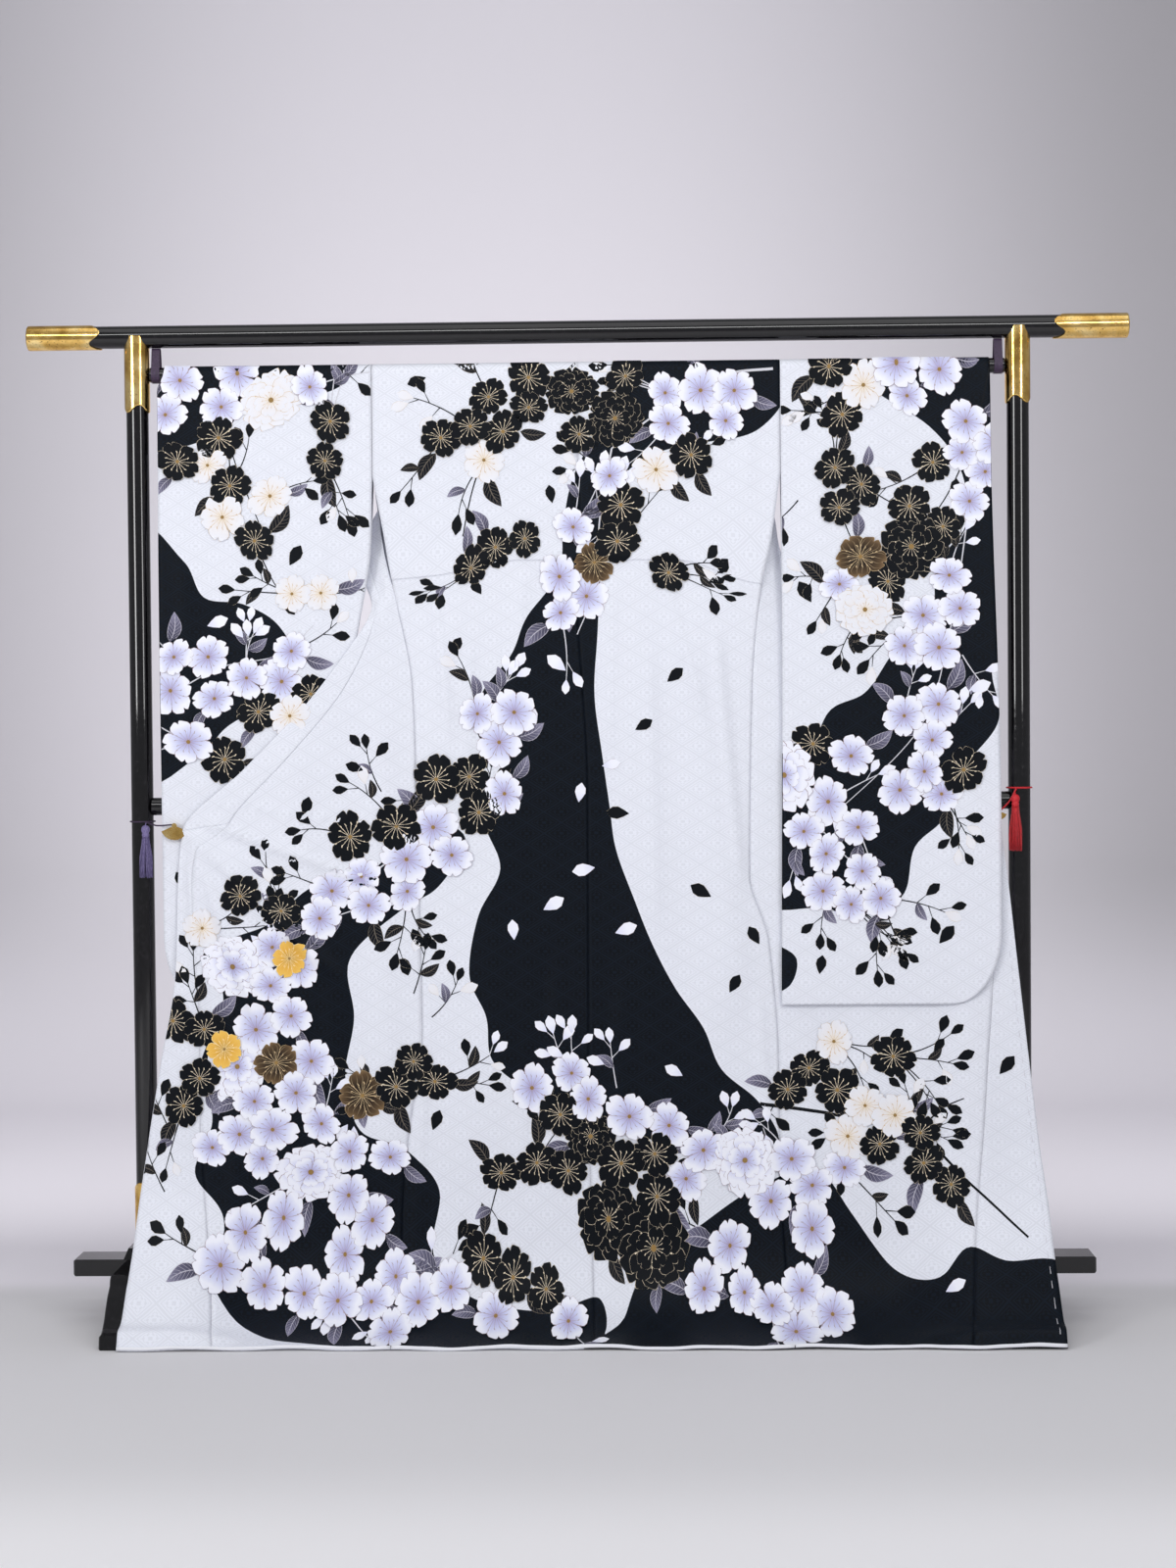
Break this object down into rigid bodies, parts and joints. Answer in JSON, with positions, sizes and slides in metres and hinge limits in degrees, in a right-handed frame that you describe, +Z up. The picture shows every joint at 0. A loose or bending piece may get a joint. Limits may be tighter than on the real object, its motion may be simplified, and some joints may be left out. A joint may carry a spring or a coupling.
{
  "type": "furisode kimono on a lacquered kimono stand",
  "caption": "Long-sleeved cherry-blossom kimono of white silk spread with its back to the front on a black lacquered stand, its fronts clipped out to the posts.",
  "frame": {"origin": "middle of the footprint, on the floor", "axes": "+X to the right of someone facing the kimono's back, +Y from that viewer through the kimono to its far side, +Z up"},
  "size_m": [1.843, 0.3916, 1.688],
  "materials": {
    "silk": "soft sheen, figured weave",
    "lacquer": "polished black lacquer",
    "gold": "gold foil over relief",
    "dark_cord": "matt braid",
    "purple_cord": "matt silk floss",
    "red_cord": "silk floss"
  },
  "bodies": {
    "root": {"back_left": "silk", "front_left": "silk", "okumi_left": "silk", "collar_left": "silk", "sleeve_left": "silk", "back_right": "silk", "front_right": "silk", "okumi_right": "silk", "collar_right": "silk", "sleeve_right": "silk", "collar_neck": "silk", "top_rail": "lacquer", "rod": "lacquer", "mid_rail": "lacquer", "foot_rail": "lacquer", "rail_cap_left": "gold", "post_left": "lacquer", "rail_joint_left": "gold", "foot_joint_left": "gold", "post_base_left": "lacquer", "foot_left": "lacquer", "rod_band_left": "dark_cord", "clip_left": "gold", "rail_cap_right": "gold", "post_right": "lacquer", "rail_joint_right": "gold", "foot_joint_right": "gold", "post_base_right": "lacquer", "foot_right": "lacquer", "rod_band_right": "dark_cord", "clip_right": "gold", "tie_left": "dark_cord", "tie_right": "red_cord", "tassel_left": "purple_cord", "tassel_right": "red_cord"}
  },
  "joints": []
}
